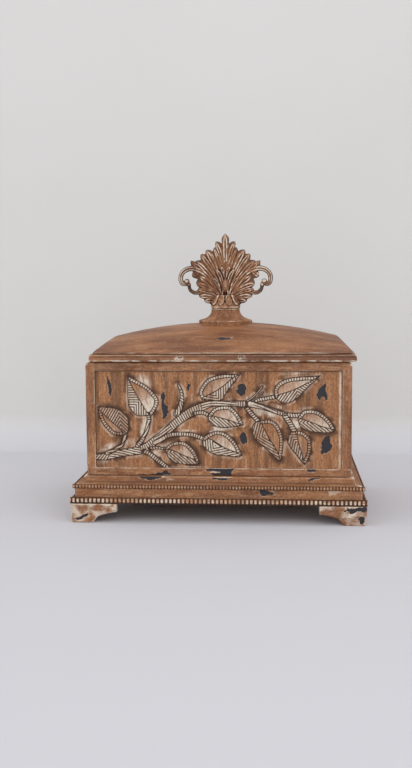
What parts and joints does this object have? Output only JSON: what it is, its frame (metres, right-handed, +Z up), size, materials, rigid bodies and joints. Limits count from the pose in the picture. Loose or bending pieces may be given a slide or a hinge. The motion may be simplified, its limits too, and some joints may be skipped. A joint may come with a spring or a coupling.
{
  "type": "lidded keepsake box",
  "caption": "Footed wooden keepsake box with a recessed carved front, beaded plinth mouldings and a lift-off domed lid topped by a pierced leaf finial.",
  "frame": {"origin": "centre of the footprint on the surface that the feet stand on", "axes": "+Z up, carved front faces -Y, length along X"},
  "size_m": [0.3, 0.19, 0.2948],
  "materials": {
    "distressed_wood": "brown stained hardwood, worn and limed",
    "carved_panel": "carved hardwood, limed leaves on a brown ground",
    "limed_moulding": "carved moulding, limed crests",
    "carved_finial": "carved hardwood, limed crests",
    "plain_wood": "plain unfinished hardwood",
    "screw_steel": "plain steel"
  },
  "bodies": {
    "case": {"front_sill": "distressed_wood", "front_top_rail": "distressed_wood", "carved_front_panel": "carved_panel", "front_plinth_rail": "distressed_wood", "front_bead_strip": "limed_moulding", "front_rib_strip": "limed_moulding", "right_sill": "distressed_wood", "right_top_rail": "distressed_wood", "right_panel": "distressed_wood", "right_plinth_rail": "distressed_wood", "right_bead_strip": "limed_moulding", "right_rib_strip": "limed_moulding", "back_sill": "distressed_wood", "back_top_rail": "distressed_wood", "back_panel": "distressed_wood", "back_plinth_rail": "distressed_wood", "back_bead_strip": "limed_moulding", "back_rib_strip": "limed_moulding", "left_sill": "distressed_wood", "left_top_rail": "distressed_wood", "left_panel": "distressed_wood", "left_plinth_rail": "distressed_wood", "left_bead_strip": "limed_moulding", "left_rib_strip": "limed_moulding", "front_left_post": "distressed_wood", "front_left_foot": "distressed_wood", "front_right_post": "distressed_wood", "front_right_foot": "distressed_wood", "back_left_post": "distressed_wood", "back_left_foot": "distressed_wood", "back_right_post": "distressed_wood", "back_right_foot": "distressed_wood", "bottom_board": "plain_wood"},
    "lid": {"front_lid_rim": "distressed_wood", "front_lid_lip": "plain_wood", "right_lid_rim": "distressed_wood", "right_lid_lip": "plain_wood", "back_lid_rim": "distressed_wood", "back_lid_lip": "plain_wood", "left_lid_rim": "distressed_wood", "left_lid_lip": "plain_wood", "lid_dome": "distressed_wood", "finial_base": "distressed_wood", "finial_leaf": "carved_finial", "finial_screw": "screw_steel"}
  },
  "joints": [
    {"name": "lid_lift", "type": "slide", "parent": "case", "child": "lid", "axis": [0, 0, 1], "range_m": [0, 0.12]}
  ]
}
